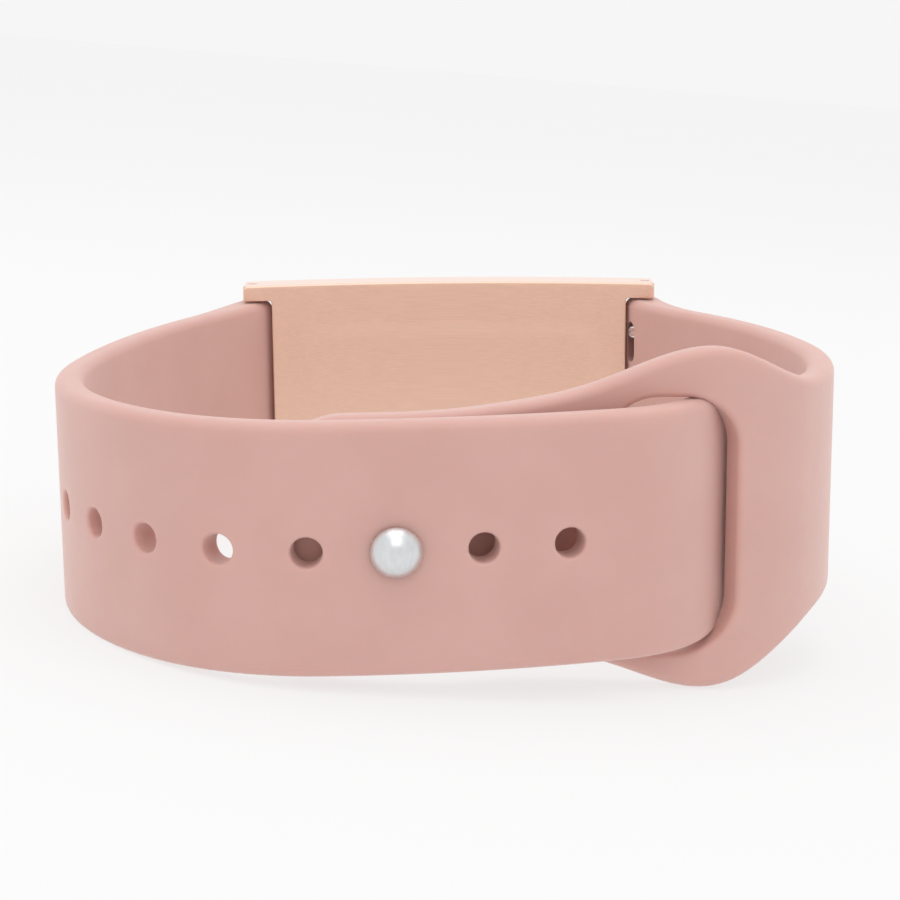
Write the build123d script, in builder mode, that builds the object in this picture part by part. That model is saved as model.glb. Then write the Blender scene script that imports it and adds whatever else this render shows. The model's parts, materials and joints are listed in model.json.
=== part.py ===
"""Fitness tracker band: a slim curved tracker case on a two-part silicone strap.

The band stands on its edge: +Z runs along the strap's width, +Y from the clasp to the case,
+X along the case from the long strap to the short one. The origin is the bottom centre.
"""
from build123d import *
import os
from math import asin, copysign, cos, radians, sin

# Driving dimensions, millimetres and degrees
STRAP_WIDTH = 20.0
STRAP_THICK = 2.4
STRAP_EDGE = 0.8  # rounding of the strap's long edges
SWELL = 4.0  # how far the rails beside the slot stand past the strap's edges
PIN_X = 20.8  # half the span between the two spring bars
PIN_Y = 31.75
SIDE_GAP = 0.2  # strap end to case ear
FOLD_GAP = 0.2  # between the two straps where they overlap
HALF = STRAP_THICK / 2
LOW_Z = SWELL  # the straps' lower edge
MID_Z = LOW_Z + STRAP_WIDTH / 2
TOP_Z = LOW_Z + STRAP_WIDTH

# Each strap's centre line, from its spring bar: (length, turn) of tangent arcs, turns to the left
LONG_HEADING = 249.0
LONG_BENDS = [(14, -3), (26, 19), (26, 56), (14, 40), (24, 16), (9, 50), (6, -12), (13, 24)]
SHORT_HEADING = 276.9
SHORT_BENDS = [(12, 26.3), (22, -25.8), (20, -38.3), (12.8, -57.9), (8, 7.2), (8, 22.3), (7.4, -26.0)]
SHORT_TIP_BENDS = [(5.5, -3.8), (4.5, -14.8)]  # these follow the long strap's inner face
TIP_CORNER = 6.5

# Clasp
HOLE_R = 1.2
HOLE_PITCH = 6.7
HOLES = 10
STUD_HOLE = 8  # counted from the case
STUD_AT = 85.7  # arc length along the long strap
STUD_NECK_R = 0.95
STUD_HEAD_R = 2.0
STUD_HEAD_RISE = 1.2
STUD_FOOT_R = 2.0
STUD_RIM = 0.35
SLOT_X = (11.9, 23.1)
SLOT_WIDTH = 21.0
SLOT_CORNER = 2.6
SLOT_Z = MID_Z - 0.4
SWELL_X = (6.8, 19.2, 30.0)  # start, crest and end of the swell

# Spring bars
BAR_R = 0.75
BAR_BORE = 0.55
TIP_R = 0.5
BARREL_R = 2.05
NECK = 0.05  # where the barrel's taper ends, as a share of the strap's length
RUNNING = 0.05  # radial running clearance
RELEASE_TRAVEL = 2.0
KNOB_FROM_END = 3.4  # knob's axis to the strap's edge at rest
KNOB_R = 0.65
KNOB_STEM_R = 0.3
KNOB_REACH = 2.5
KNOB_ANGLE = 53.0  # knob's direction below the line between the two bars
SPRING_R = 0.38
SPRING_WIRE_R = 0.13
SPRING_WIRE_SIDES = 10
SPRING_TURNS = 12
TUBE_INSET = 0.3  # tube's end to the strap's edge
PLUG_DEPTH = 3.4  # how far the fixed tip reaches into the tube
PLUNGER_TAIL = 1.6  # from the knob's axis to the plunger's inner end
TIP_CHAMFER = 0.15
KNOB_RIM = 0.8
KNOB_GROOVE = 0.2
SPRING_END_GAP = 0.05

# Case
CASE_R = 89.0  # radius of the wrist-side face
CASE_AXIS_Y = 31.77 - CASE_R
CASE_THICK = 4.2
CASE_LENGTH = 43.1
BLOCK_LENGTH = 37.3
RAIL = 1.6
EAR_Z = STRAP_WIDTH / 2 + SIDE_GAP  # ears start this far from the middle
CASE_HEIGHT = 2 * (EAR_Z + RAIL)
COVER_IN = CASE_R + 0.4
LEDGE_IN = CASE_R + 2.7
LEDGE_OUT = CASE_R + 3.2
CAVITY = (34.4, 17.6, 1.5)  # length, height, corner radius
WINDOW = (31.0, 14.4, 2.0)
LENS = (35.0, 19.0, 2.5)
GASKET = (36.2, 19.0, 2.2)
LENS_RING = (34.6, 18.6, 2.3)
DISPLAY = (32.4, 15.8, 1.0)
CARRIER = (33.4, 16.8, 1.0)
GASKET_THICK = 0.4
RING_THICK = 0.1
DISPLAY_THICK = 0.8
CARRIER_THICK = 0.2
LENS_EDGE = 0.3
END_ROUND = 0.5
LENS_PROUD = 0.4
DISH = (33.0, 16.2, 3.0)
DISH_DEPTH = 0.15
PAD_X = (-3.0, 3.0)
PAD_Z = MID_Z - 5.5
PAD_R = 0.9
BATTERY_X = -9.6
BATTERY = (13.0, 14.0, 0.85)  # length, height, thickness; the same for the board and the sensor
BATTERY_CORNER = 0.4
BOARD_X = 2.6
BOARD = (9.6, 15.4, 0.4)
CAN_SIDE = 6.4
CAN_CORNER = 0.6
CAN_THICK = 0.5
CAN_Z = 2.6  # above the board's middle
SENSOR = (2.5, 2.5, 0.5)
SENSOR_AT = (1.6, -4.6)
MOTOR_X = 13.2
MOTOR_Z = -3.6
MOTOR_R = 3.0
MOTOR_THICK = 1.0
FLEX_X = 8.7
FLEX_Z = -3.6
FLEX_LENGTH = 2.4
FLEX_WIDTH = 4.0
FLEX_THICK = 0.12
FLEX_RISE = 0.65
FLEX_SLOT = (1.2, 4.6)
ANTENNA = (5.2, 0.5)
ANTENNA_Z = 7.4
ANTENNA_LEG = (0.8, 3.0)
ANTENNA_LEG_Z = 5.7
ANTENNA_LEGS_X = (-2.2, 1.0)  # from the motor's middle

ON_SEAT = (Align.CENTER, Align.CENTER, Align.MIN)

os.makedirs("parts", exist_ok=True)


def along(start, heading, bends, side=0.0):
    """Draw tangent arcs that run `side` to the left of a centre line, and return the last one."""
    direction = Vector(cos(radians(heading)), sin(radians(heading)))
    point = Vector(*start) + direction.rotate(Axis.Z, 90) * side
    for length, turn in bends:
        radius = length / radians(abs(turn)) - side * copysign(1, turn)
        arc = JernArc(start=point, tangent=direction, radius=radius, arc_size=turn)
        point, direction = arc @ 1, arc % 1
    return arc


def strap_plan(start, heading, bends):
    """A strap's plan: a band of even thickness with a round barrel about its spring bar."""
    with BuildLine() as edge:
        near = along(start, heading, bends, HALF)
        far = along(start, heading, bends, -HALF)
        Line(near @ 1, far @ 1)
        square = Vector(-sin(radians(heading)), cos(radians(heading))) * HALF
        Line(Vector(*start) + square, Vector(*start) - square)
    make_face(edge.edges())
    with Locations(start):
        Circle(BARREL_R)


def rounded_band(line):
    """The strap's body: a section with round edges, swept along the centre line, and its barrel."""
    start = line.position_at(0)
    with BuildSketch(Plane((start.X, start.Y, MID_Z), x_dir=(0, 0, 1), z_dir=line.tangent_at(0))) as section:
        RectangleRounded(STRAP_WIDTH, STRAP_THICK, STRAP_EDGE)
    sweep(section.sketch, path=line.moved(Location((0, 0, MID_Z))))
    with BuildSketch(Plane.XY.offset(LOW_Z)) as barrel:
        with Locations((start.X, start.Y)):
            Circle(BARREL_R)
        with Locations(Plane(line.position_at(NECK), x_dir=line.tangent_at(NECK), z_dir=(0, 0, 1))):
            Rectangle(0.1, STRAP_THICK)
        make_hull()
    extrude(barrel.sketch, amount=STRAP_WIDTH)


def centre_line(start, heading, bends):
    """The strap's centre line as a wire, to measure along."""
    with BuildLine() as line:
        along(start, heading, bends)
    return line.wire()


def across(line, distance, outward):
    """The plane that faces away from the wrist at a distance along a centre line, at mid width."""
    point = line.position_at(distance, position_mode=PositionMode.LENGTH)
    ahead = line.tangent_at(distance, position_mode=PositionMode.LENGTH)
    return Plane((point.X, point.Y, MID_Z), x_dir=ahead, z_dir=ahead.rotate(Axis.Z, outward))


def round_tip(line, outward):
    """Round the two corners at a strap's free end."""
    reach = 2 * TIP_CORNER
    with BuildSketch(across(line, line.length, outward)) as waste:
        Rectangle(2 * reach, 2 * STRAP_WIDTH)
        with Locations((-2 * reach, 0)):
            RectangleRounded(4 * reach, STRAP_WIDTH, TIP_CORNER, mode=Mode.SUBTRACT)
    extrude(waste.sketch, amount=4, both=True, mode=Mode.SUBTRACT)


def knob_side(pin, end):
    """The direction that a release knob points in, and its height, for a bar and its free end."""
    lean = copysign(cos(radians(KNOB_ANGLE)), -pin[0])
    height = MID_Z + end * (STRAP_WIDTH / 2 - KNOB_FROM_END)
    return Vector(lean, -sin(radians(KNOB_ANGLE))), height


def bar_seat(pin, end):
    """Bore a strap's barrel for its spring bar and cut the recess that the knob slides in."""
    toward, height = knob_side(pin, end)
    with BuildSketch(Plane.XY.offset(LOW_Z - 1)) as bore:
        with Locations(pin):
            Circle(BAR_R + RUNNING)
    extrude(bore.sketch, amount=STRAP_WIDTH + 2, mode=Mode.SUBTRACT)
    middle = height - end * RELEASE_TRAVEL / 2
    with BuildSketch(Plane((*pin, middle), x_dir=(0, 0, 1), z_dir=toward)) as recess:
        SlotOverall(RELEASE_TRAVEL + 2 * KNOB_R + 1.0, 2 * KNOB_R + 0.4)
    extrude(recess.sketch, amount=4, mode=Mode.SUBTRACT)


LEFT_PIN = (-PIN_X, PIN_Y)
RIGHT_PIN = (PIN_X, PIN_Y)
long_line = centre_line(LEFT_PIN, LONG_HEADING, LONG_BENDS)
short_line = centre_line(RIGHT_PIN, SHORT_HEADING, SHORT_BENDS + SHORT_TIP_BENDS)
stud_place = across(long_line, STUD_AT, -90)


# Long strap: a row of holes, and a tail that dives through the short strap's slot
with BuildPart() as long_strap:
    rounded_band(long_line)
    round_tip(long_line, -90)
    for index in range(HOLES):
        with BuildSketch(across(long_line, STUD_AT + (index + 1 - STUD_HOLE) * HOLE_PITCH, -90)):
            Circle(HOLE_R)
        extrude(amount=STRAP_THICK, both=True, mode=Mode.SUBTRACT)
    bar_seat(LEFT_PIN, -1)

# Short strap: it swells round the slot, and its tip lies inside the long strap
with BuildPart() as swell:
    with BuildSketch():
        strap_plan(RIGHT_PIN, SHORT_HEADING, SHORT_BENDS + SHORT_TIP_BENDS)
    extrude(amount=STRAP_WIDTH + 2 * SWELL)
    with BuildSketch(Plane.XZ):
        with BuildLine():
            rise, crest, fall = SWELL_X
            for z, lift in ((LOW_Z, -SWELL), (TOP_Z, SWELL)):
                Spline((rise, z), (crest, z + lift), tangents=((1, 0), (1, 0)))
                Spline((crest, z + lift), (fall, z), tangents=((1, 0), (1, 0)))
            Line((rise, LOW_Z), (rise, TOP_Z))
            Line((fall, LOW_Z), (fall, TOP_Z))
        make_face()
    extrude(amount=PIN_Y, mode=Mode.INTERSECT)

with BuildPart() as short_strap:
    rounded_band(short_line)
    round_tip(short_line, 90)
    add(swell.part)
    with BuildSketch(Plane.XZ):
        with Locations((sum(SLOT_X) / 2, SLOT_Z)):
            RectangleRounded(SLOT_X[1] - SLOT_X[0], SLOT_WIDTH, SLOT_CORNER)
    extrude(amount=PIN_Y, mode=Mode.SUBTRACT)
    with BuildSketch(stud_place):
        Circle(STUD_NECK_R)
    extrude(amount=-2 * STRAP_THICK - 1, mode=Mode.SUBTRACT)
    bar_seat(RIGHT_PIN, 1)

# Stud: domed head outside the long strap, neck through both straps, foot flange inside
with BuildPart() as clasp_stud:
    foot_z = -HALF - FOLD_GAP - STRAP_THICK - 0.15
    head_z = HALF + 0.1
    with BuildSketch(stud_place.offset(head_z)):
        Circle(STUD_HEAD_R)
    extrude(amount=STUD_RIM + STUD_HEAD_RISE)
    dome_r = (STUD_HEAD_R**2 + STUD_HEAD_RISE**2) / (2 * STUD_HEAD_RISE)
    with Locations(stud_place.offset(head_z + STUD_RIM + STUD_HEAD_RISE - dome_r)):
        Sphere(dome_r, mode=Mode.INTERSECT)
    with BuildSketch(stud_place.offset(foot_z)):
        Circle(STUD_NECK_R)
    extrude(amount=head_z - foot_z + STUD_RIM)
    with BuildSketch(stud_place.offset(foot_z - STUD_RIM)):
        Circle(STUD_FOOT_R)
    extrude(amount=STUD_RIM)

# Spring bars: a tube with a fixed tip at one end, and a sprung plunger with a release knob
def spring_bar(pin, end):
    """One quick-release bar along Z, its plunger at the top (end = 1) or at the bottom (end = -1)."""
    toward, knob_z = knob_side(pin, end)
    tube_half = STRAP_WIDTH / 2 - TUBE_INSET
    tip_out = EAR_Z + RAIL - 0.2
    plunger_in = knob_z - MID_Z - end * PLUNGER_TAIL
    spring_end = -end * (tube_half - PLUG_DEPTH)

    def at(height):
        return Plane((*pin, MID_Z + height), z_dir=(0, 0, end))

    with BuildPart() as tube:
        with BuildSketch(at(-end * tube_half)):
            Circle(BAR_R)
            Circle(BAR_BORE, mode=Mode.SUBTRACT)
        extrude(amount=2 * tube_half)
        with BuildSketch(Plane((*pin, knob_z - end * RELEASE_TRAVEL / 2), x_dir=(0, 0, 1), z_dir=toward)):
            SlotCenterToCenter(RELEASE_TRAVEL, 2 * (KNOB_STEM_R + RUNNING))
        extrude(amount=2 * BAR_R, mode=Mode.SUBTRACT)

    with BuildPart() as fixed_tip:
        with BuildSketch(at(-end * tip_out)):
            Circle(TIP_R)
        extrude(amount=tip_out - tube_half)
        with BuildSketch(at(-end * tube_half)):
            Circle(BAR_BORE)
        extrude(amount=PLUG_DEPTH)
        chamfer(fixed_tip.faces().sort_by(Axis.Z)[0 if end > 0 else -1].edges(), TIP_CHAMFER)

    with BuildPart() as plunger:
        with BuildSketch(at(plunger_in)):
            Circle(TIP_R)
        extrude(amount=end * (end * tip_out - plunger_in))
        chamfer(plunger.faces().sort_by(Axis.Z)[-1 if end > 0 else 0].edges(), TIP_CHAMFER)
        with BuildSketch(Plane((*pin, knob_z), z_dir=toward)):
            Circle(KNOB_STEM_R + 0.01)
        extrude(amount=2 * TIP_R, both=True, mode=Mode.SUBTRACT)

    with BuildPart() as knob:
        with BuildSketch(Plane((*pin, knob_z), z_dir=toward)):
            Circle(KNOB_STEM_R)
        extrude(amount=KNOB_REACH)
        with BuildSketch(Plane(Vector(*pin, knob_z) + toward * (KNOB_REACH - KNOB_RIM), z_dir=toward)):
            Circle(KNOB_R)
        extrude(amount=KNOB_RIM)
        crown = knob.faces().sort_by(Axis(Vector(*pin), toward))[-1]
        fillet(crown.edges(), 0.2)
        with BuildSketch(Plane(Vector(*pin, knob_z) + toward * KNOB_REACH, z_dir=toward, x_dir=(0, 0, 1))):
            Rectangle(KNOB_GROOVE, 4 * KNOB_R)
        extrude(amount=-KNOB_GROOVE, mode=Mode.SUBTRACT)

    with BuildPart() as spring:
        turns_room = end * (plunger_in - spring_end) - 2 * (SPRING_WIRE_R + SPRING_END_GAP)
        coil = Helix(pitch=turns_room / SPRING_TURNS, height=turns_room, radius=SPRING_R)
        start = Plane(coil @ 0, z_dir=coil % 0)
        with BuildSketch(start):
            RegularPolygon(SPRING_WIRE_R, SPRING_WIRE_SIDES)
        sweep(path=coil, is_frenet=True)

    low = min(spring_end, plunger_in) + SPRING_WIRE_R + SPRING_END_GAP
    spring_part = spring.part.moved(Location((*pin, MID_Z + low)))
    return {"tube": tube.part, "fixed_tip": fixed_tip.part, "plunger": plunger.part,
            "knob": knob.part, "spring": spring_part}


def case_slice(inner, outer, length, height, corner=0.0, x=0.0, z=MID_Z):
    """A slice of the case between two radii, rounded as seen from the wrist."""
    with BuildPart() as piece:
        with BuildSketch(Plane.XY.offset(z - height / 2 - corner)):
            with Locations((0, CASE_AXIS_Y)):
                Circle(outer)
                Circle(inner, mode=Mode.SUBTRACT)
            with Locations((x, PIN_Y)):
                Rectangle(length + 2 * corner, 30, mode=Mode.INTERSECT)
        extrude(amount=height + 2 * corner)
        if corner:
            with BuildSketch(Plane.XZ.offset(-2 * PIN_Y)):
                with Locations((x, z)):
                    RectangleRounded(length, height, corner)
            extrude(amount=2 * PIN_Y, mode=Mode.INTERSECT)
    return piece.part


def seat(radius, x, z=MID_Z):
    """The plane tangent to the case's curve at a place, facing away from the wrist."""
    lean = asin(x / radius)
    outward = Vector(sin(lean), cos(lean), 0)
    origin = outward * radius + Vector(0, CASE_AXIS_Y, z)
    return Plane(origin, x_dir=(-cos(lean), sin(lean), 0), z_dir=outward)


def eared_slice(inner, outer):
    """A slice of the whole case: a block between two rails that reach out as ears."""
    with BuildPart() as piece:
        add(case_slice(inner, outer, BLOCK_LENGTH, CASE_HEIGHT))
        for side in (-1, 1):
            rail_z = MID_Z + side * (EAR_Z + RAIL / 2)
            add(case_slice(inner, outer, CASE_LENGTH, RAIL, z=rail_z))
    return piece.part


# Case frame: walls round the cavity, a ledge for the lens, and the ears that hold the spring bars
with BuildPart() as case_frame:
    add(eared_slice(COVER_IN, CASE_R + CASE_THICK))
    upright = case_frame.edges().filter_by(Axis.Z)
    ear_ends = upright.filter_by(lambda edge: abs(edge.center().X) > BLOCK_LENGTH / 2 + 1)
    fillet(ear_ends.filter_by(lambda edge: edge.center().Y > PIN_Y), END_ROUND)
    add(case_slice(COVER_IN - 1, LEDGE_IN, *CAVITY), mode=Mode.SUBTRACT)
    add(case_slice(LEDGE_IN - 1, LEDGE_OUT + 1, *WINDOW), mode=Mode.SUBTRACT)
    add(case_slice(LEDGE_OUT, LEDGE_OUT + 3, LENS[0] + 0.1, LENS[1] + 0.1, LENS[2]), mode=Mode.SUBTRACT)
    add(case_slice(COVER_IN - 1, COVER_IN + GASKET_THICK, *GASKET), mode=Mode.SUBTRACT)
    with BuildSketch(Plane.XY):
        with Locations(LEFT_PIN, RIGHT_PIN):
            Circle(TIP_R + RUNNING)
    extrude(amount=MID_Z + CASE_HEIGHT, mode=Mode.SUBTRACT)

# Back cover: the brushed plate against the wrist, ears included, with a shallow dish and two pads
pad_places = [seat(CASE_R, x, PAD_Z) for x in PAD_X]
with BuildPart() as back_cover:
    add(eared_slice(CASE_R, COVER_IN))
    add(case_slice(CASE_R - 1, CASE_R + DISH_DEPTH, *DISH), mode=Mode.SUBTRACT)
    for place in pad_places:
        with BuildSketch(place.offset(-1)):
            Circle(PAD_R)
        extrude(amount=3, mode=Mode.SUBTRACT)

with BuildPart() as charge_pads:
    for place in pad_places:
        with BuildSketch(place.offset(DISH_DEPTH)):
            Circle(PAD_R)
        extrude(amount=COVER_IN - CASE_R - DISH_DEPTH)

with BuildPart() as back_gasket:
    add(case_slice(COVER_IN, COVER_IN + GASKET_THICK, *GASKET))
    add(case_slice(COVER_IN - 1, COVER_IN + 1, *CAVITY), mode=Mode.SUBTRACT)

# Front: domed-edge lens on its adhesive ring, and the display behind it
with BuildPart() as lens:
    add(case_slice(LEDGE_OUT + RING_THICK, CASE_R + CASE_THICK + LENS_PROUD, *LENS))
    outer_face = lens.faces().sort_by(Axis.Y)[-1]
    fillet(outer_face.edges(), LENS_EDGE)

with BuildPart() as lens_gasket:
    add(case_slice(LEDGE_OUT, LEDGE_OUT + RING_THICK, *LENS_RING))
    add(case_slice(LEDGE_OUT - 1, LEDGE_OUT + 1, *WINDOW), mode=Mode.SUBTRACT)

with BuildPart() as display_module:
    add(case_slice(LEDGE_IN - DISPLAY_THICK, LEDGE_IN, *DISPLAY))

# Inside: a carrier plate, the board with its chips, the battery, the motor and the antenna
carrier_face = LEDGE_IN - DISPLAY_THICK - RUNNING
with BuildPart() as mid_plate:
    add(case_slice(carrier_face - CARRIER_THICK, carrier_face, *CARRIER))
    add(case_slice(LEDGE_IN - 2, LEDGE_IN, *FLEX_SLOT, x=FLEX_X, z=MID_Z + FLEX_Z), mode=Mode.SUBTRACT)

with BuildPart(seat(COVER_IN + 0.05, BATTERY_X)) as battery_cell:
    Box(*BATTERY, align=ON_SEAT)
    fillet(battery_cell.edges().filter_by(Axis.Z), BATTERY_CORNER)

board_back = seat(COVER_IN + 0.2, BOARD_X)
board_front = board_back.offset(BOARD[2])
with BuildPart(board_back) as main_board:
    Box(*BOARD, align=ON_SEAT)

with BuildPart() as processor_can:
    with BuildSketch(board_front):
        with Locations((0, CAN_Z)):
            RectangleRounded(CAN_SIDE, CAN_SIDE, CAN_CORNER)
    extrude(amount=CAN_THICK)

with BuildPart(board_front) as motion_sensor:
    with Locations(SENSOR_AT):
        Box(*SENSOR, align=ON_SEAT)

# The flex cable lies on the board, then rises through the carrier plate to the display
with BuildPart(board_front) as flex_cable:
    with Locations((BOARD_X - FLEX_X, FLEX_Z)):
        Box(FLEX_LENGTH, FLEX_WIDTH, FLEX_THICK, align=(Align.MIN, Align.CENTER, Align.MIN))
        Box(FLEX_THICK, FLEX_WIDTH, FLEX_RISE, align=(Align.MIN, Align.CENTER, Align.MIN))

with BuildPart(seat(COVER_IN + 0.1, MOTOR_X, MID_Z + MOTOR_Z)) as vibration_motor:
    Cylinder(MOTOR_R, MOTOR_THICK, align=ON_SEAT)

with BuildPart() as antenna:
    add(case_slice(COVER_IN + 0.1, COVER_IN + 1.0, *ANTENNA, x=MOTOR_X, z=MID_Z + ANTENNA_Z))
    for x in ANTENNA_LEGS_X:
        add(case_slice(COVER_IN + 0.1, COVER_IN + 0.4, *ANTENNA_LEG, x=MOTOR_X + x, z=MID_Z + ANTENNA_LEG_Z))

pieces = {
    "case_frame": case_frame, "back_cover": back_cover, "charge_pads": charge_pads,
    "back_gasket": back_gasket, "lens": lens, "lens_gasket": lens_gasket,
    "display_module": display_module, "mid_plate": mid_plate, "battery_cell": battery_cell,
    "main_board": main_board, "processor_can": processor_can, "motion_sensor": motion_sensor,
    "vibration_motor": vibration_motor, "antenna": antenna, "flex_cable": flex_cable,
    "long_strap": long_strap, "short_strap": short_strap, "clasp_stud": clasp_stud,
}
solids = {name: piece.part for name, piece in pieces.items()}
for side, pin, end in (("left", LEFT_PIN, -1), ("right", RIGHT_PIN, 1)):
    for piece, solid in spring_bar(pin, end).items():
        solids[f"{side}_bar_{piece}"] = solid

for name, solid in solids.items():
    solid.label = name
    export_step(solid, f"parts/{name}.step")
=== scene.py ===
"""Looks of the fitness tracker band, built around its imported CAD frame.

Straps and back plate are laid out flat, as a distance along and a place across, with rounded rims
and openings, and are then bent to their route. Measures here are in millimetres until a mesh is made.
"""
import json
from math import asin, cos, pi, radians, sin, sqrt

import bmesh
import bpy
import numpy as np
from mathutils import Matrix, Vector
from mathutils.geometry import delaunay_2d_cdt


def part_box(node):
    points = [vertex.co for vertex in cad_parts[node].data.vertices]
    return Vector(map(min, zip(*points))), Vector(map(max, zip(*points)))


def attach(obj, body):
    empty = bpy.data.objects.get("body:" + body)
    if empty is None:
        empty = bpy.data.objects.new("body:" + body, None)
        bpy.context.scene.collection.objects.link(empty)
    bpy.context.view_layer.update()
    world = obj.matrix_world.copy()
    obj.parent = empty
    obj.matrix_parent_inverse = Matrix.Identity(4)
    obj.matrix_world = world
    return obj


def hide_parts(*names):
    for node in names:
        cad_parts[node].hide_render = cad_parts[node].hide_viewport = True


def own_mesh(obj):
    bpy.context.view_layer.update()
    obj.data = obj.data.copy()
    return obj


MM = 0.001

# Strap route and section, as in the CAD model but for the swell's fall, the slot's shape and the outer root
STRAP_WIDTH = 20.0
HALF_THICK = 1.2
TAPER = 12.0  # from the spring bar to the even band
OUTER_AT_BAR = 1.75
BARREL_R = 2.05
LONG_HEADING = 249.0
LONG_BENDS = [(14, -3), (26, 19), (26, 56), (14, 40), (24, 16), (9, 50), (6, -12), (13, 24)]
SHORT_HEADING = 276.9
SHORT_BENDS = [(12, 26.3), (22, -25.8), (20, -38.3), (12.8, -57.9), (8, 7.2), (8, 22.3), (7.4, -26.0),
               (5.5, -3.8), (4.5, -14.8)]
TIP_CORNER = 6.5
HOLE_R = 1.2
HOLE_PITCH = 6.7
HOLES = 10
STUD_HOLE = 8
STUD_AT = 85.7
STUD_DENT = (0.10, 2.6)  # depth and spread of the strap's dent round the stud
NECK_HOLE_R = 1.0
HEAD_R = 2.0
HEAD_RISE = 1.2
HEAD_RIM = 0.35
NECK_R = 0.95
FOOT_R = 2.0
FOOT_THICK = 0.35
FOLD_GAP = 0.2
SLOT_MIDDLE = (67.3, -0.35)  # along, across
SLOT = (10.8, 21.0, 4.4)  # along, across, corner radius
SWELL = 4.0
SWELL_MIDDLE = 64.0
SWELL_SPREAD = (7.2, 8.8)  # towards the case, towards the tip
BAR_BORE_R = 0.8
SPRING_R = 0.38
SPRING_WIRE_R = 0.13
SPRING_TURNS = 12
KNOB_SIDE = radians(53)
RECESS_R = 0.85
RECESS_TRAVEL = 2.6
RECESS_DEPTH = 4.6
KNOB_HEIGHT = 6.6  # from the strap's middle

# Rounded rims
EDGE_ROUND = 0.85
SLOT_ROUND = 0.5
HOLE_ROUND = 0.28
GRID = 0.8

# Back plate: an H whose arms are the ears
PLATE_R = 89.0
PLATE_THICK = 0.4
PLATE_ROUND = (0.18, 0.02)  # wrist side, frame side
BLOCK_LENGTH = 37.3
EAR_INNER = 10.2
DISH = (33.0, 16.2, 3.4)
DISH_DEPTH = 0.15
DISH_SLOPE = 2.4
PAD_R = 0.92
PAD_PLACES = ((-3.0, -5.5), (3.0, -5.5))
PAD_RIM = 0.06

# Studio: a pale floor on which the band rests on its swell, its case end and its front edge
FLOOR_TOUCH = ((19.2, -24.9, 0.0), (-21.5, 33.0, 2.2), (-25.0, -25.0, 4.0))
FLOOR_GAP = 0.06
FLOOR_R = 8.0  # metres
FLOOR_GLOW = 0.69
BACKGROUND = 0.9216
CAMERA_AT = (0, -0.18728, 0.05467)  # metres
CAMERA_TILT = 77.874
CAMERA_ROLL = -0.472
CAMERA_LENS = 83.17

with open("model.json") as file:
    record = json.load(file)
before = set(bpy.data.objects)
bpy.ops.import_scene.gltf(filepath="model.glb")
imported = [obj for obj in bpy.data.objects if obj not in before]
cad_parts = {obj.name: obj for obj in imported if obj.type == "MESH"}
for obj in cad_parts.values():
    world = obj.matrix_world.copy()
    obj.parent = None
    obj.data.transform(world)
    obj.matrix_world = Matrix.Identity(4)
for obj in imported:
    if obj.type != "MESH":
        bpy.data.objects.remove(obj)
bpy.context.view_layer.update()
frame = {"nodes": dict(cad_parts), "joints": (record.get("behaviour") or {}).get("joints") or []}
joints = {joint["name"]: joint for joint in frame["joints"]}
LEFT_PIN = Vector(joints["long_strap_swing"]["pos_m"]) / MM
RIGHT_PIN = Vector(joints["short_strap_swing"]["pos_m"]) / MM
MID_Z = LEFT_PIN.z


# ---------------------------------------------------------------- flat layout
class Route:
    """A strap's centre line from its spring bar: arcs whose bends run gently into each other."""

    STEP = 0.05
    EASE = 3.0

    def __init__(self, pin, heading, bends, outward):
        self.length = sum(length for length, turn in bends)
        self.stations = np.arange(0, self.length + self.EASE, self.STEP)
        ends = np.cumsum([length for length, turn in bends])
        part = np.minimum(np.searchsorted(ends, self.stations), len(bends) - 1)
        curve = np.array([radians(turn) / length for length, turn in bends])[part]
        window = np.hanning(int(self.EASE / self.STEP) | 1)
        curve = np.convolve(np.pad(curve, len(window) // 2, mode="edge"), window / window.sum(), mode="valid")
        angle = radians(heading) + (np.cumsum(curve) - curve / 2 - curve[0] / 2) * self.STEP
        ahead = np.column_stack([np.cos(angle), np.sin(angle)])
        middles = (ahead[1:] + ahead[:-1]) / 2 * self.STEP
        self.points = np.vstack([[pin.x, pin.y], np.array([pin.x, pin.y]) + np.cumsum(middles, axis=0)])
        self.normals = np.column_stack([-ahead[:, 1], ahead[:, 0]]) * outward
        self.start = ahead[0]

    def _at(self, values, along):
        return np.column_stack([np.interp(along, self.stations, values[:, axis]) for axis in (0, 1)])

    def place(self, along, across, height):
        """Points of the bent strap, height being measured from its middle, away from the wrist."""
        plan = self._at(self.points, along) + self._at(self.normals, along) * np.asarray(height)[:, None]
        return np.column_stack([plan, MID_Z + np.asarray(across)])

    def wrap(self, across, height, angle):
        """A point on the barrel round the spring bar, by its angle from the outer face."""
        plan = self.points[0] + height * (self.normals[0] * cos(angle) - self.start * sin(angle))
        return (*plan, MID_Z + across)


def arc(middle, radius, first, last, step=0.35):
    """Points of an arc, both ends included."""
    count = max(2, int(abs(last - first) * radius / step) + 1)
    angles = np.linspace(first, last, count + 1)
    return [(middle[0] + radius * cos(a), middle[1] + radius * sin(a)) for a in angles]


def rounded_rectangle(middle, length, width, corner):
    """A closed outline, counter-clockwise."""
    points = []
    for quarter in range(4):
        sx, sy = ((1, 1), (-1, 1), (-1, -1), (1, -1))[quarter]
        pivot = (middle[0] + sx * (length / 2 - corner), middle[1] + sy * (width / 2 - corner))
        points += arc(pivot, corner, quarter * pi / 2, (quarter + 1) * pi / 2)
    return spread(points + points[:1])[:-1]


def spread(points, step=0.5):
    """The same line with points no further apart than a step."""
    out = []
    for (x0, y0), (x1, y1) in zip(points, points[1:]):
        count = max(1, int(np.ceil(sqrt((x1 - x0) ** 2 + (y1 - y0) ** 2) / step)))
        out += [(x0 + (x1 - x0) * i / count, y0 + (y1 - y0) * i / count) for i in range(count)]
    return np.array(out + [points[-1]])


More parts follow.
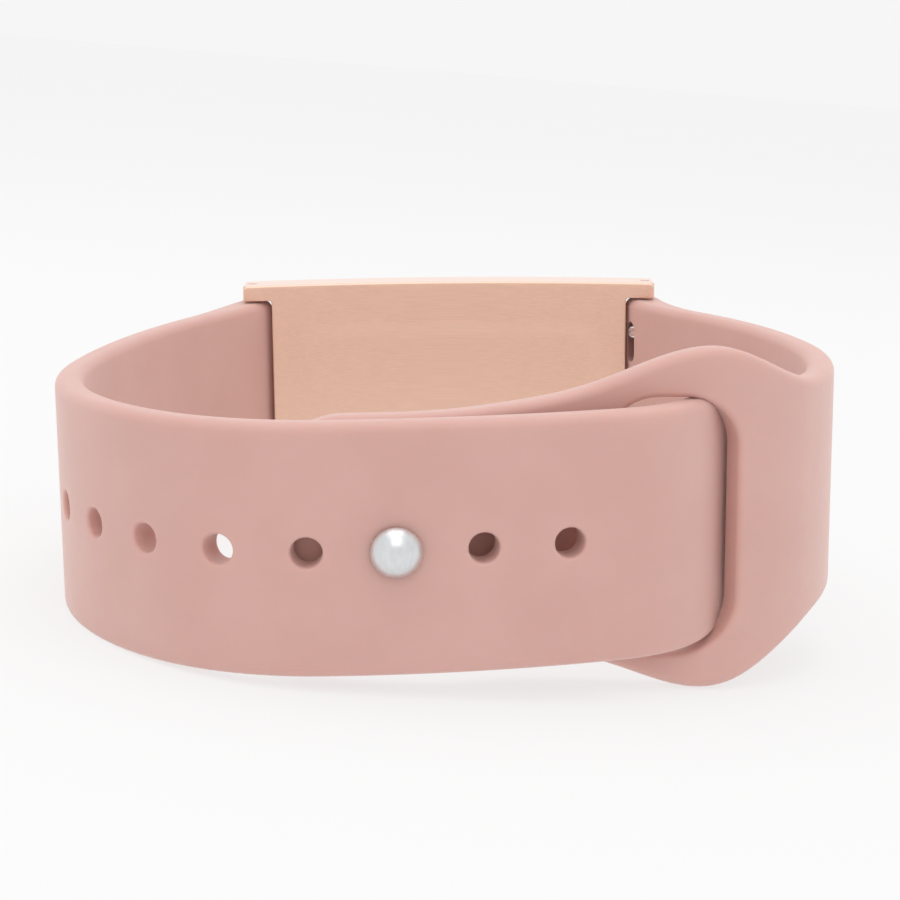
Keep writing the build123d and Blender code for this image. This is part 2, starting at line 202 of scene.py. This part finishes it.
def circle(middle, radius, count=36):
    """A closed circle, counter-clockwise."""
    turns = np.linspace(0, 2 * pi, count, endpoint=False)
    return np.column_stack([middle[0] + radius * np.cos(turns), middle[1] + radius * np.sin(turns)])


def into_material(points, distance, closed):
    """An outline moved to its left, where the material is."""
    if closed:
        ahead = np.roll(points, -1, axis=0) - np.roll(points, 1, axis=0)
    else:
        ahead = np.gradient(points, axis=0)
    ahead /= np.linalg.norm(ahead, axis=1)[:, None]
    left = np.column_stack([-ahead[:, 1], ahead[:, 0]])
    if not closed:
        left[0], left[-1] = (0, 1), (0, -1)
    return points + left * distance


def inside(points, polygon):
    """Which points lie in a polygon."""
    x, y = points[:, 0][:, None], points[:, 1][:, None]
    x0, y0 = polygon[:, 0], polygon[:, 1]
    x1, y1 = np.roll(x0, -1), np.roll(y0, -1)
    rise = np.where(y1 == y0, 1e-12, y1 - y0)
    crosses = ((y0 > y) != (y1 > y)) & (x < (x1 - x0) * (y - y0) / rise + x0)
    return crosses.sum(axis=1) % 2 == 1


class Slab:
    """A sheet with rounded rims, made flat between a front and a back height, then put in place."""

    RIM_STEPS = 6

    def __init__(self, place, front, back, grid=GRID):
        self.place, self.front, self.back, self.grid = place, front, back, grid
        self.bm = bmesh.new()
        self.rims = []

    def _row(self, plan, height):
        """New vertices over flat places, at their heights."""
        spots = self.place(plan[:, 0], plan[:, 1], height) * MM
        return [self.bm.verts.new(spot) for spot in spots]

    def _strip(self, a, b, closed):
        """Faces between two rows of as many vertices."""
        count = len(a) if closed else len(a) - 1
        for i in range(count):
            j = (i + 1) % len(a)
            self.bm.faces.new((a[i], a[j], b[j], b[i]))

    def rim(self, points, radius, closed=True):
        """Round the slab off along an outline that has the material on its left.

        The radius is one number, or a pair for the front and the back, which then end at one outline."""
        radii = radius if isinstance(radius, tuple) else (radius, radius)
        middle = (self.front(*points.T) + self.back(*points.T)) / 2
        waist = self._row(points, middle)
        rows = {1: [waist], -1: [waist]}
        for side, face, radius in ((1, self.front, radii[0]), (-1, self.back, radii[1])):
            for step in range(self.RIM_STEPS + 1):
                turn = pi / 2 * step / self.RIM_STEPS
                plan = into_material(points, radius * (1 - cos(turn)), closed)
                row = self._row(plan, face(*plan.T) - side * radius * (1 - sin(turn)))
                self._strip(rows[side][-1], row, closed)
                rows[side].append(row)
            if radius < max(radii):
                plan = into_material(points, max(radii), closed)
                row = self._row(plan, face(*plan.T))
                self._strip(rows[side][-1], row, closed)
                rows[side].append(row)
        self.rims.append({"plan": plan, "rows": rows, "closed": closed})

    def fill(self):
        """Triangulate both faces between the rims; an open outline is closed by a straight root."""
        outer = self.rims[0]
        plans = [rim["plan"] for rim in self.rims]
        root = np.empty((0, 2))
        if not outer["closed"]:
            top, low = outer["plan"][-1], outer["plan"][0]
            root = spread([tuple(top), tuple(low)], self.grid)[1:-1]
        border = np.vstack([outer["plan"], root])
        low, high = border.min(axis=0), border.max(axis=0)
        rows = int((high[1] - low[1]) / (self.grid * 0.866)) + 1
        spots = [(low[0] + (i + 0.5 * (j % 2)) * self.grid, low[1] + j * self.grid * 0.866)
                 for j in range(rows + 1) for i in range(int((high[0] - low[0]) / self.grid) + 2)]
        spots = np.array(spots)
        spots = spots[inside(spots, border)]
        for plan in plans[1:]:
            spots = spots[~inside(spots, plan)]
        for edge in [border] + plans[1:]:
            gap = np.linalg.norm(spots[:, None] - edge[None], axis=2).min(axis=1)
            spots = spots[gap > 0.55 * self.grid]
        points = np.vstack([border] + plans[1:] + [spots])
        links, first = [], 0
        for edge in [border] + plans[1:]:
            links += [(first + i, first + (i + 1) % len(edge)) for i in range(len(edge))]
            first += len(edge)
        _, _, faces, origin, _, _ = delaunay_2d_cdt([Vector(p) for p in points], links, [], 0, 1e-7)
        triangles = np.array([[origin[v][0] for v in face] for face in faces])
        centres = points[triangles].mean(axis=1)
        keep = inside(centres, border)
        for plan in plans[1:]:
            keep &= ~inside(centres, plan)
        loose = np.vstack([root, spots])
        for side, face in ((1, self.front), (-1, self.back)):
            new = self._row(loose, face(*loose.T))
            verts = outer["rows"][side][-1] + new[:len(root)]
            for rim in self.rims[1:]:
                verts = verts + rim["rows"][side][-1]
            verts = verts + new[len(root):]
            for a, b, c in triangles[keep]:
                self.bm.faces.new((verts[a], verts[b], verts[c]))
            outer["rows"][side].append(new[:len(root)])

    def barrel(self, wrap, height, steps=20):
        """Close an open outline's root with a barrel, from the front face round to the back one."""
        ends = {}
        for side in (1, -1):
            *rings, root = self.rims[0]["rows"][side]
            ends[side] = [ring[0] for ring in rings] + root[::-1] + [ring[-1] for ring in rings[::-1]]
        fans = []
        for front, back in zip(ends[1], ends[-1]):
            if front == back:
                fans.append([front] * (steps + 1))
                continue
            outer, inner, across = height(front), height(back), front.co.z / MM - MID_Z
            between = []
            for k in range(1, steps):
                reach = outer + (inner - outer) * (1 - cos(pi * k / steps)) / 2
                between.append(self.bm.verts.new(Vector(wrap(across, reach, pi * k / steps)) * MM))
            fans.append([front, *between, back])
        for a, b in zip(fans, fans[1:]):
            for k in range(steps):
                corners = list(dict.fromkeys((a[k], a[k + 1], b[k + 1], b[k])))
                self.bm.faces.new(corners)

    def finish(self, name):
        bmesh.ops.recalc_face_normals(self.bm, faces=self.bm.faces)
        return piece_from(self.bm, name)


def piece_from(bm, name, smooth=True):
    """A new object from a bmesh, in metres."""
    mesh = bpy.data.meshes.new(name)
    bm.to_mesh(mesh)
    bm.free()
    mesh.shade_smooth() if smooth else mesh.shade_flat()
    piece = bpy.data.objects.new(name, mesh)
    bpy.context.scene.collection.objects.link(piece)
    return piece


def apply_modifiers(piece):
    """Replace a piece's mesh with what its modifiers make of it."""
    graph = bpy.context.evaluated_depsgraph_get()
    graph.update()
    mesh = bpy.data.meshes.new_from_object(piece.evaluated_get(graph))
    piece.modifiers.clear()
    piece.data = mesh


def cut(piece, *tools):
    """Take tools away from a piece, and keep the new rims crisp."""
    for tool in tools:
        boolean = piece.modifiers.new("cut", "BOOLEAN")
        boolean.operation = "DIFFERENCE"
        boolean.solver = "EXACT"
        boolean.object = tool
        apply_modifiers(piece)
        bpy.data.objects.remove(tool)
    piece.data.set_sharp_from_angle(angle=radians(40))


# ---------------------------------------------------------------- straps
def strap_height(at_bar):
    """The height of a face above the strap's middle: it tapers gently from the spring bar."""
    def height(along, across):
        share = np.clip(1 - along / TAPER, 0, 1)
        return HALF_THICK + (at_bar - HALF_THICK) * share * share * (3 - 2 * share)
    return height


def strap_outline(length, half_width):
    """The open outline from the root's lower corner round the tip to its upper corner."""
    straight = np.arange(0, length - TIP_CORNER, 0.5)
    side = np.column_stack([straight, half_width(straight)])
    low = side * (1, -1)
    end = length - TIP_CORNER
    flat = STRAP_WIDTH / 2 - TIP_CORNER
    tip = arc((end, -flat), TIP_CORNER, -pi / 2, 0) + arc((end, flat), TIP_CORNER, 0, pi / 2)
    return np.vstack([low, spread(tip), side[::-1]])


def capsule_tool(pin, side, way):
    """The recess that the release knob slides in: a slot from the spring bar outwards."""
    toward = Vector((cos(KNOB_SIDE) * side, -sin(KNOB_SIDE), 0))
    up = Vector((0, 0, way))
    across = toward.cross(up)
    start = Vector((pin.x, pin.y, MID_Z)) + up * (KNOB_HEIGHT - 1)
    half = RECESS_TRAVEL / 2
    outline = arc((0, half), RECESS_R, 0, pi) + arc((0, -half), RECESS_R, pi, 2 * pi)
    bm = bmesh.new()
    near, far = [[bm.verts.new((start + toward * depth + across * x + up * z) * MM) for x, z in outline]
                 for depth in (0, RECESS_DEPTH)]
    bm.faces.new(near)
    bm.faces.new(far)
    for i in range(len(near)):
        j = (i + 1) % len(near)
        bm.faces.new((near[i], near[j], far[j], far[i]))
    bmesh.ops.recalc_face_normals(bm, faces=bm.faces)
    return piece_from(bm, "recess_tool")


def bore_tool(pin):
    """A rod as wide as the barrel's bore."""
    bm = bmesh.new()
    matrix = Matrix.Translation(Vector((pin.x, pin.y, MID_Z)) * MM)
    bmesh.ops.create_cone(bm, cap_ends=True, segments=32, radius1=BAR_BORE_R * MM, radius2=BAR_BORE_R * MM,
                          depth=STRAP_WIDTH * 1.2 * MM, matrix=matrix)
    return piece_from(bm, "bore_tool")


def make_long_strap():
    """The strap with the holes, dented round the stud."""
    route = Route(LEFT_PIN, LONG_HEADING, LONG_BENDS, -1)
    outer, inner = strap_height(OUTER_AT_BAR), strap_height(BARREL_R)

    def front(along, across):
        near = (along - STUD_AT) ** 2 + across**2
        return outer(along, across) - STUD_DENT[0] * np.exp(-near / STUD_DENT[1] ** 2)

    slab = Slab(route.place, front, lambda along, across: -inner(along, across))
    outline = strap_outline(route.length, lambda along: np.full(len(along), STRAP_WIDTH / 2))
    slab.rim(outline, EDGE_ROUND, closed=False)
    for index in range(HOLES):
        middle = (STUD_AT + (index + 1 - STUD_HOLE) * HOLE_PITCH, 0)
        slab.rim(circle(middle, HOLE_R)[::-1], HOLE_ROUND)
    slab.fill()
    slab.barrel(route.wrap, barrel_reach(route))
    strap = slab.finish("long_strap_silicone")
    cut(strap, bore_tool(LEFT_PIN), capsule_tool(LEFT_PIN, 1, -1))
    return strap


def make_short_strap():
    """The strap that swells round its slot, with the stud's hole near its tip."""
    route = Route(RIGHT_PIN, SHORT_HEADING, SHORT_BENDS, 1)
    outer, inner = strap_height(OUTER_AT_BAR), strap_height(BARREL_R)

    def half_width(along):
        off = along - SWELL_MIDDLE
        spread_here = np.where(off < 0, *SWELL_SPREAD)
        return STRAP_WIDTH / 2 + SWELL * np.exp(-((off / spread_here) ** 2))

    slab = Slab(route.place, outer, lambda along, across: -inner(along, across))
    slab.rim(strap_outline(route.length, half_width), EDGE_ROUND, closed=False)
    slab.rim(rounded_rectangle(SLOT_MIDDLE, *SLOT)[::-1], SLOT_ROUND)
    stud_hole = stud_station(route)
    slab.rim(circle((stud_hole, 0), NECK_HOLE_R)[::-1], HOLE_ROUND)
    slab.fill()
    slab.barrel(route.wrap, barrel_reach(route))
    strap = slab.finish("short_strap_silicone")
    cut(strap, bore_tool(RIGHT_PIN), capsule_tool(RIGHT_PIN, -1, 1))
    return strap


def barrel_reach(route):
    """How far a root vertex stands from the spring bar's axis."""
    return lambda vert: (Vector((vert.co.x, vert.co.y)) / MM - Vector(route.points[0])).length


def stud_station(route):
    """Where along the short strap the stud passes through it."""
    middle = middle_of("clasp_stud")
    away = np.linalg.norm(route.points - np.array([middle.x, middle.y]), axis=1)
    return route.stations[away.argmin()]


def middle_of(node):
    """The middle of a CAD node's box."""
    low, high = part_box(node)
    return (low + high) / 2 / MM


# ---------------------------------------------------------------- stud
def make_stud():
    """A domed rivet turned on a lathe: head, neck through both straps and foot flange."""
    route = Route(LEFT_PIN, LONG_HEADING, LONG_BENDS, -1)
    base = Vector(route.place([STUD_AT], [0], [0])[0])
    outward = (Vector(route.place([STUD_AT], [0], [1])[0]) - base).normalized()
    low, foot = HALF_THICK + 0.1, -3 * HALF_THICK - FOLD_GAP - 0.15
    dome_r = (HEAD_R**2 + HEAD_RISE**2) / (2 * HEAD_RISE)
    top = low + HEAD_RIM + HEAD_RISE
    profile = [(0, top)]
    for step in range(1, 25):
        turn = asin(HEAD_R * 0.985 / dome_r) * step / 24
        profile.append((dome_r * sin(turn), top - dome_r * (1 - cos(turn))))
    last_r, last_z = profile[-1]
    for step in range(1, 7):
        turn = pi / 2 * step / 6
        profile.append((last_r + 0.05 * sin(turn), last_z - 0.12 * (1 - cos(turn)) - 0.02 * step))
    profile += [(HEAD_R, low + 0.14), (HEAD_R - 0.03, low + 0.05), (HEAD_R - 0.12, low)]
    profile += [(NECK_R + 0.15, low), (NECK_R + 0.04, low - 0.04), (NECK_R, low - 0.15)]
    profile += [(NECK_R, foot + 0.1), (NECK_R + 0.1, foot)]
    edge = [(FOOT_R - 0.12, 0), (FOOT_R - 0.03, 0.03), (FOOT_R, 0.12)]
    profile += [(radius, foot - depth) for radius, depth in edge]
    profile += [(radius, foot - FOOT_THICK + depth) for radius, depth in reversed(edge)]
    profile.append((0, foot - FOOT_THICK))
    turned = outward.to_track_quat("Z", "Y").to_matrix().to_4x4()
    return lathe("clasp_stud_metal", profile, Matrix.Translation(base * MM) @ turned)


def lathe(name, profile, matrix, segments=72):
    """A closed solid of revolution from (radius, height) pairs; the first and last lie on the axis."""
    bm = bmesh.new()
    rings = []
    for radius, height in profile:
        if radius == 0:
            rings.append([bm.verts.new(matrix @ Vector((0, 0, height * MM)))] * segments)
            continue
        turns = [2 * pi * k / segments for k in range(segments)]
        rings.append([bm.verts.new(matrix @ Vector((radius * cos(t) * MM, radius * sin(t) * MM, height * MM)))
                      for t in turns])
    for a, b in zip(rings, rings[1:]):
        for i in range(segments):
            j = (i + 1) % segments
            corners = list(dict.fromkeys((a[i], a[j], b[j], b[i])))
            bm.faces.new(corners)
    bmesh.ops.recalc_face_normals(bm, faces=bm.faces)
    return piece_from(bm, name)


def make_spring(node, pin):
    """A spring bar's coil of round wire, as long as its CAD node."""
    low, high = (corner.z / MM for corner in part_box(node))
    bottom, climb = low + SPRING_WIRE_R, high - low - 2 * SPRING_WIRE_R
    slope = climb / (2 * pi * SPRING_TURNS)
    steps = 24 * SPRING_TURNS
    spokes = circle((0, 0), 1.0, count=10)
    bm = bmesh.new()
    rings = []
    for turn in np.linspace(0, 2 * pi * SPRING_TURNS, steps + 1):
        out = Vector((cos(turn), sin(turn), 0))
        ahead = Vector((-SPRING_R * sin(turn), SPRING_R * cos(turn), slope)).normalized()
        middle = Vector((pin.x, pin.y, bottom + slope * turn)) + out * SPRING_R
        across = ahead.cross(out)
        ring = [middle + (out * x + across * y) * SPRING_WIRE_R for x, y in spokes]
        rings.append([bm.verts.new(spot * MM) for spot in ring])
    bm.faces.new(rings[0])
    bm.faces.new(rings[-1])
    for a, b in zip(rings, rings[1:]):
        for i in range(len(a)):
            j = (i + 1) % len(a)
            bm.faces.new((a[i], a[j], b[j], b[i]))
    bmesh.ops.recalc_face_normals(bm, faces=bm.faces)
    return piece_from(bm, f"{node}_coil")


# ---------------------------------------------------------------- case
def plate_outline(half_length, half_height):
    """The H of the back plate, counter-clockwise, its ears' corners rounded."""
    block, ear, corner, notch = BLOCK_LENGTH / 2, EAR_INNER, 0.5, 0.3
    quadrant = [(block, 0), (block, ear - notch)]
    quadrant += arc((block + notch, ear - notch), notch, pi, pi / 2, step=0.1)
    quadrant += arc((half_length - 0.2, ear + 0.2), 0.2, -pi / 2, 0, step=0.1)
    quadrant += arc((half_length - corner, half_height - corner), corner, 0, pi / 2, step=0.15)
    right = [(x, -y) for x, y in quadrant[:0:-1]] + quadrant
    left = [(-x, -y) for x, y in right]
    return spread(right + left + right[:1], 0.4)[:-1]


def make_back_plate():
    """The brushed plate against the wrist: a slim curved slab with a soft-edged dish."""
    low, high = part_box("back_cover")
    axis_y = high.y / MM - PLATE_R - PLATE_THICK
    middle_r = PLATE_R + PLATE_THICK / 2
    half_length, half_height = high.x / MM, (high.z - low.z) / MM / 2

    def place(along, across, height):
        radius = middle_r - np.asarray(height)
        return np.column_stack([along, axis_y + np.sqrt(radius**2 - np.asarray(along) ** 2), MID_Z + across])

    def front(along, across):
        length, width, corner = DISH
        dx = np.abs(along) - (length / 2 - corner)
        dy = np.abs(across) - (width / 2 - corner)
        outside = np.sqrt(np.maximum(dx, 0) ** 2 + np.maximum(dy, 0) ** 2) + np.minimum(np.maximum(dx, dy), 0)
        share = np.clip((corner - outside) / DISH_SLOPE, 0, 1)
        return PLATE_THICK / 2 - DISH_DEPTH * share * share * (3 - 2 * share)

    slab = Slab(place, front, lambda along, across: np.full(len(along), -PLATE_THICK / 2), grid=0.5)
    slab.rim(plate_outline(half_length, half_height), PLATE_ROUND)
    for spot in PAD_PLACES:
        slab.rim(circle(spot, PAD_R)[::-1], PAD_RIM)
    slab.fill()
    return slab.finish("back_plate_brushed")


def make_bevelled(node, name, width, segments=3, spare=None):
    """A copy of a CAD node with its crisp edges broken, apart from edges between spared points."""
    bm = bmesh.new()
    bm.from_mesh(frame["nodes"][node].data)
    bmesh.ops.remove_doubles(bm, verts=bm.verts, dist=1e-6)
    bmesh.ops.dissolve_limit(bm, angle_limit=radians(0.3), verts=bm.verts, edges=bm.edges)
    sharp = [e for e in bm.edges if len(e.link_faces) == 2 and e.calc_face_angle() > radians(35)]
    if spare:
        sharp = [e for e in sharp if not all(spare(v.co / MM) for v in e.verts)]
    bmesh.ops.bevel(bm, geom=sharp, offset=width * MM, offset_type="OFFSET", segments=segments, profile=0.5,
                    affect="EDGES", clamp_overlap=True)
    bmesh.ops.recalc_face_normals(bm, faces=bm.faces)
    piece = piece_from(bm, name)
    piece.data.set_sharp_from_angle(angle=radians(45))
    weighted = piece.modifiers.new("weighted", "WEIGHTED_NORMAL")
    weighted.keep_sharp = True
    apply_modifiers(piece)
    return piece


def make_case_frame():
    """The machined frame, left crisp where the back plate lies on it."""
    axis_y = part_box("back_cover")[1].y / MM - PLATE_R - PLATE_THICK

    def under_plate(spot):
        return sqrt(spot.x**2 + (spot.y - axis_y) ** 2) < PLATE_R + PLATE_THICK + 0.05

    return make_bevelled("case_frame", "case_frame_machined", 0.14, spare=under_plate)


# ---------------------------------------------------------------- materials
def tone(red, green, blue):
    """An sRGB colour, 0 to 255, as linear RGBA."""
    def linear(value):
        value /= 255
        return value / 12.92 if value <= 0.04045 else ((value + 0.055) / 1.055) ** 2.4
    return (linear(red), linear(green), linear(blue), 1.0)


class Material:
    """A Principled material whose colour, roughness and relief come from procedural noise."""

    def __init__(self, name, roughness=0.5, metallic=0.0, **sockets):
        self.material = bpy.data.materials.new(name)
        self.material.use_nodes = True
        self.nodes = self.material.node_tree.nodes
        self.links = self.material.node_tree.links
        self.shader = self.nodes["Principled BSDF"]
        self.shader.inputs["Roughness"].default_value = roughness
        self.shader.inputs["Metallic"].default_value = metallic
        for socket, value in sockets.items():
            self.shader.inputs[socket.replace("_", " ")].default_value = value
        self.relief = None

    def node(self, kind, **values):
        node = self.nodes.new(kind)
        for socket, value in values.items():
            node.inputs[socket.replace("_", " ")].default_value = value
        return node

    def noise(self, stretch, detail=3.0, roughness=0.55):
        """Noise on the piece's own coordinates, with so many cells to a metre along each axis."""
        place = self.node("ShaderNodeTexCoord")
        scale = self.node("ShaderNodeMapping", Scale=stretch)
        noise = self.node("ShaderNodeTexNoise", Scale=1.0, Detail=detail, Roughness=roughness)
        self.links.new(place.outputs["Object"], scale.inputs["Vector"])
        self.links.new(scale.outputs["Vector"], noise.inputs["Vector"])
        return noise.outputs["Fac"]

    def colours(self, factor, *stops):
        """Base colour from a ramp of (position, colour) stops."""
        ramp = self.nodes.new("ShaderNodeValToRGB")
        ramp.color_ramp.interpolation = "EASE"
        elements = ramp.color_ramp.elements
        while len(elements) < len(stops):
            elements.new(0.5)
        for element, (position, colour) in zip(elements, stops):
            element.position = position
            element.color = colour
        self.links.new(factor, ramp.inputs["Fac"])
        self.links.new(ramp.outputs["Color"], self.shader.inputs["Base Color"])
        return self

    def rough(self, factor, low, high):
        spread_node = self.node("ShaderNodeMapRange", From_Min=0.3, From_Max=0.7, To_Min=low, To_Max=high)
        self.links.new(factor, spread_node.inputs["Value"])
        self.links.new(spread_node.outputs["Result"], self.shader.inputs["Roughness"])
        return self

    def bump(self, factor, strength, depth):
        """Relief of so many metres, added to what is there."""
        bump = self.node("ShaderNodeBump", Strength=strength, Distance=depth)
        self.links.new(factor, bump.inputs["Height"])
        if self.relief:
            self.links.new(self.relief.outputs["Normal"], bump.inputs["Normal"])
        self.links.new(bump.outputs["Normal"], self.shader.inputs["Normal"])
        self.relief = bump
        return self


def silicone():
    """Satin dusty-pink silicone: faint mottling, a fine moulded grain and a soft pale edge."""
    look = Material("silicone", 0.5, IOR=1.42, Sheen_Weight=0.4, Sheen_Roughness=0.45,
                    Subsurface_Weight=0.3, Subsurface_Scale=0.0015, Specular_IOR_Level=0.42)
    look.shader.inputs["Sheen Tint"].default_value = tone(255, 236, 230)
    look.shader.inputs["Subsurface Radius"].default_value = (1.0, 0.45, 0.3)
    look.colours(look.noise((140, 140, 140)), (0.3, tone(207, 164, 155)), (0.7, tone(210, 168, 159)))
    look.rough(look.noise((900, 900, 900), detail=2), 0.46, 0.54)
    look.bump(look.noise((5200, 5200, 5200), detail=2), 0.25, 0.00002)
    return look.material


def rose_gold(name, base, brushed=False):
    """Anodised rose-gold metal, fine-blasted or finely brushed along the case."""
    look = Material(name, 0.4, 0.55)
    dark = tone(*(value * (0.97 if brushed else 0.985) for value in base))
    stretch = (25, 8000, 8000) if brushed else (7000, 7000, 7000)
    grain = look.noise(stretch, detail=4, roughness=0.6)
    look.colours(grain, (0.3, dark), (0.7, tone(*base)))
    look.rough(grain, 0.34, 0.46)
    look.bump(grain, 0.12, 0.00001)
    return look.material


def metal(name, colour, low, high, grain=3000, strength=0.08):
    """Bright metal with a faint turned or rolled grain."""
    look = Material(name, low, 1.0)
    noise = look.noise((grain, grain, grain * 0.25), detail=4)
    look.colours(noise, (0.3, tone(*(value * 0.96 for value in colour))), (0.7, tone(*colour)))
    look.rough(noise, low, high)
    look.bump(noise, strength, 0.00001)
    return look.material


def plastic(name, colour, low, high, grain=2500, strength=0.2, coat=0.0):
    """Moulded or coated plastic, rubber or board."""
    look = Material(name, low, 0.0, Coat_Weight=coat, Coat_Roughness=0.04)
    noise = look.noise((grain, grain, grain), detail=3)
    look.colours(noise, (0.3, tone(*(value * 0.92 for value in colour))), (0.7, tone(*colour)))
    look.rough(noise, low, high)
    look.bump(noise, strength, 0.00002)
    return look.material


# ---------------------------------------------------------------- set
def add_light(name, place, target, size, watts):
    """A soft rectangular light that faces its target."""
    light = bpy.data.lights.new(name, "AREA")
    light.shape = "RECTANGLE"
    light.size, light.size_y = size
    light.energy = watts
    lamp = bpy.data.objects.new(name, light)
    lamp.location = place
    lamp.rotation_euler = (Vector(target) - Vector(place)).to_track_quat("-Z", "Y").to_euler()
    bpy.context.scene.collection.objects.link(lamp)


def make_floor():
    """The plane on which the band rests: on its swell, its case end and its front edge."""
    swell, case_end, front = (Vector(spot) for spot in FLOOR_TOUCH)
    normal = (case_end - swell).cross(front - swell).normalized()
    if normal.z < 0:
        normal = -normal
    turned = normal.to_track_quat("Z", "Y").to_matrix().to_4x4()
    drop = Matrix.Translation((swell - normal * FLOOR_GAP) * MM)
    bm = bmesh.new()
    bmesh.ops.create_circle(bm, cap_ends=True, segments=96, radius=FLOOR_R, matrix=drop @ turned)
    floor = piece_from(bm, "studio_floor", smooth=False)
    look = Material("floor_white", 0.9, 0.0, Specular_IOR_Level=0.0)
    look.shader.inputs["Emission Color"].default_value = (1, 1, 1, 1)
    look.shader.inputs["Emission Strength"].default_value = FLOOR_GLOW
    white = look.noise((3, 3, 3))
    look.colours(white, (0.3, (0.235, 0.235, 0.235, 1)), (0.7, (0.237, 0.237, 0.237, 1)))
    floor.data.materials.append(look.material)


def make_set():
    """Background, floor, lights and camera."""
    scene = bpy.context.scene
    scene.view_settings.view_transform = "Standard"
    world = bpy.data.worlds.new("studio")
    world.use_nodes = True
    backdrop = world.node_tree.nodes["Background"]
    backdrop.inputs["Color"].default_value = (BACKGROUND, BACKGROUND, BACKGROUND, 1)
    scene.world = world
    make_floor()
    add_light("top_softbox", (0, 0.05, 0.55), (0, 0, 0.01), (0.5, 0.5), 0.8)
    add_light("front_softbox", (0.05, -0.45, 0.5), (0, 0.02, 0.01), (0.4, 0.4), 0.5)
    lens = bpy.data.cameras.new("camera")
    lens.sensor_width = 36.0
    lens.lens = CAMERA_LENS
    lens.clip_start = 0.01
    camera = bpy.data.objects.new("camera", lens)
    tilt = Matrix.Rotation(radians(CAMERA_TILT), 4, "X")
    roll = Matrix.Rotation(radians(CAMERA_ROLL), 4, "Z")
    camera.matrix_world = Matrix.Translation(CAMERA_AT) @ tilt @ roll
    scene.collection.objects.link(camera)
    scene.camera = camera


# ---------------------------------------------------------------- assembly
SILICONE = silicone()
ROSE = rose_gold("rose_gold", (247, 224, 212))
BRUSHED = rose_gold("rose_gold_brushed", (244, 208, 186), brushed=True)
STEEL = metal("polished_steel", (232, 232, 234), 0.16, 0.24)
STUD = metal("stud_steel", (224, 226, 228), 0.28, 0.34)
SPRING = metal("spring_steel", (196, 198, 202), 0.22, 0.32)
GOLD = metal("contact_gold", (240, 208, 140), 0.18, 0.28)

CAD_LOOKS = {
    "charge_pads": GOLD,
    "antenna": GOLD,
    "back_gasket": plastic("seal_rubber", (28, 28, 29), 0.6, 0.75),
    "lens_gasket": plastic("adhesive_ring", (24, 24, 25), 0.5, 0.65),
    "lens": plastic("dark_cover_glass", (9, 9, 11), 0.05, 0.08, grain=400, strength=0.01, coat=1.0),
    "display_module": plastic("display_stack", (14, 14, 17), 0.12, 0.2, strength=0.02),
    "mid_plate": plastic("carrier_plastic", (62, 62, 65), 0.5, 0.6),
    "battery_cell": metal("cell_foil", (188, 190, 194), 0.35, 0.5, grain=1200, strength=0.3),
    "main_board": plastic("board_mask", (18, 84, 56), 0.35, 0.5),
    "processor_can": metal("shield_can", (206, 206, 204), 0.3, 0.4),
    "motion_sensor": plastic("chip_moulding", (26, 26, 28), 0.5, 0.65),
    "vibration_motor": metal("motor_shell", (208, 208, 210), 0.25, 0.35),
    "flex_cable": plastic("polyimide", (196, 128, 52), 0.35, 0.45),
}
for side in ("left", "right"):
    for part in ("tube", "fixed_tip", "plunger", "knob"):
        CAD_LOOKS[f"{side}_bar_{part}"] = STEEL

NEW_PIECES = (
    (make_long_strap, "long_strap", "long_strap", "silicone", SILICONE),
    (make_short_strap, "short_strap", "short_strap", "silicone", SILICONE),
    (make_stud, "clasp_stud", "short_strap", "steel", STUD),
    (make_back_plate, "back_cover", "case", "rose_gold_brushed", BRUSHED),
    (make_case_frame, "case_frame", "case", "rose_gold", ROSE),
)


def dress(piece, node, body, slot, look):
    """Give a new piece its material and let it stand for its CAD node on a body."""
    piece.data.materials.clear()
    piece.data.materials.append(look)
    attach(piece, body)
    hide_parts(node)


for make, node, body, slot, look in NEW_PIECES:
    dress(make(), node, body, slot, look)

# Each spring bar's coil of round wire, as long as its CAD node, rides on its strap's body
for side, pin, body, fixed in (("left", LEFT_PIN, "long_strap", 1), ("right", RIGHT_PIN, "short_strap", 0)):
    node = f"{side}_bar_spring"
    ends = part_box(node)
    coil = make_spring(node, pin)
    dress(coil, node, body, "spring_steel", SPRING)
    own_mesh(coil)

for node, look in CAD_LOOKS.items():
    mesh = frame["nodes"][node].data
    mesh.materials.clear()
    mesh.materials.append(look)

make_set()
